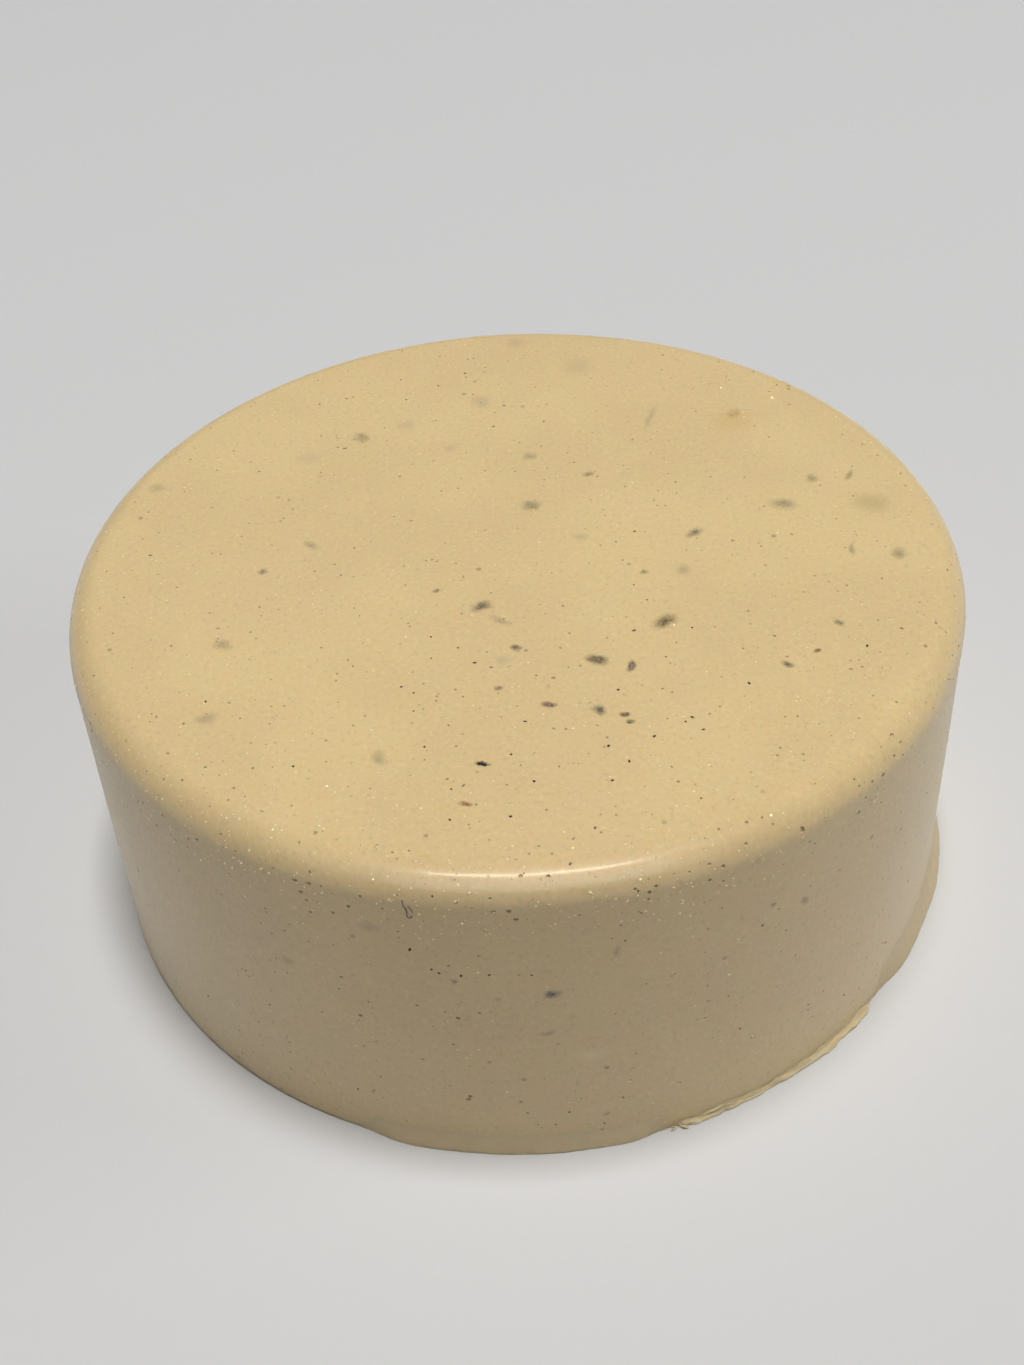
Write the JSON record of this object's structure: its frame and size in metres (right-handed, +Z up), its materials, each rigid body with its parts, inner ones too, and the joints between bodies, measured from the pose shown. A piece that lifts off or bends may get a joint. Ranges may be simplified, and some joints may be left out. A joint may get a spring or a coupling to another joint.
{
  "type": "shaving soap puck",
  "caption": "Round cast puck of shaving soap with rounded top edge, flat underside, torn casting flash and dried leaf flakes, specks and mica set in it.",
  "frame": {"origin": "centre of the flat underside that the puck rests on", "axes": "+Z up along the puck's axis towards its rounded top face, -Y towards the side with the torn flash at its front, +X to the right seen from there"},
  "size_m": [0.0719, 0.0714, 0.0292],
  "materials": {
    "soap": "cast soap, pale straw tan, satin and slightly translucent",
    "soap_flash": "the same soap as a thin torn skirt, paler and rougher",
    "slate_leaf": "dried leaf, slate green, matt",
    "olive_leaf": "dried leaf, olive brown, matt",
    "plum_petal": "dried petal, purple grey, matt",
    "rust_leaf": "dried leaf, rust brown, matt",
    "seed_husk": "husk and root, near black, slightly glossy",
    "black_speck": "ground seed, black, matt",
    "brown_speck": "ground bark, brown, matt",
    "mica": "mica, pale gold, glinting"
  },
  "bodies": {
    "root": {"black_specks": "black_speck", "brown_specks": "brown_speck", "flash_front": "soap_flash", "flash_right": "soap_flash", "flash_shred": "soap_flash", "flash_torn": "soap_flash", "inner_flakes": "slate_leaf", "mica_flecks": "mica", "olive_leaf_01": "olive_leaf", "olive_leaf_02": "olive_leaf", "olive_leaf_03": "olive_leaf", "olive_leaf_04": "olive_leaf", "olive_leaf_05": "olive_leaf", "olive_leaf_06": "olive_leaf", "plum_petal_01": "plum_petal", "plum_petal_02": "plum_petal", "plum_petal_03": "plum_petal", "plum_petal_04": "plum_petal", "plum_petal_05": "plum_petal", "plum_petal_06": "plum_petal", "plum_petal_07": "plum_petal", "plum_petal_08": "plum_petal", "plum_petal_09": "plum_petal", "plum_petal_10": "plum_petal", "plum_petal_11": "plum_petal", "plum_petal_12": "plum_petal", "root_fibre": "seed_husk", "rust_leaf_01": "rust_leaf", "rust_leaf_02": "rust_leaf", "rust_leaf_03": "rust_leaf", "seed_husk": "seed_husk", "slate_leaf_01": "slate_leaf", "slate_leaf_02": "slate_leaf", "slate_leaf_03": "slate_leaf", "slate_leaf_04": "slate_leaf", "slate_leaf_05": "slate_leaf", "slate_leaf_06": "slate_leaf", "slate_leaf_07": "slate_leaf", "slate_leaf_08": "slate_leaf", "slate_leaf_09": "slate_leaf", "slate_leaf_10": "slate_leaf", "slate_leaf_11": "slate_leaf", "slate_leaf_12": "slate_leaf", "slate_leaf_13": "slate_leaf", "slate_leaf_14": "slate_leaf", "slate_leaf_15": "slate_leaf", "slate_leaf_16": "slate_leaf", "soap_body": "soap", "wall_leaf_01": "slate_leaf", "wall_leaf_02": "slate_leaf", "wall_leaf_03": "slate_leaf", "wall_leaf_04": "slate_leaf", "wall_leaf_05": "slate_leaf", "wall_leaf_06": "slate_leaf", "wall_leaf_07": "slate_leaf", "wall_petal": "plum_petal"}
  },
  "joints": []
}
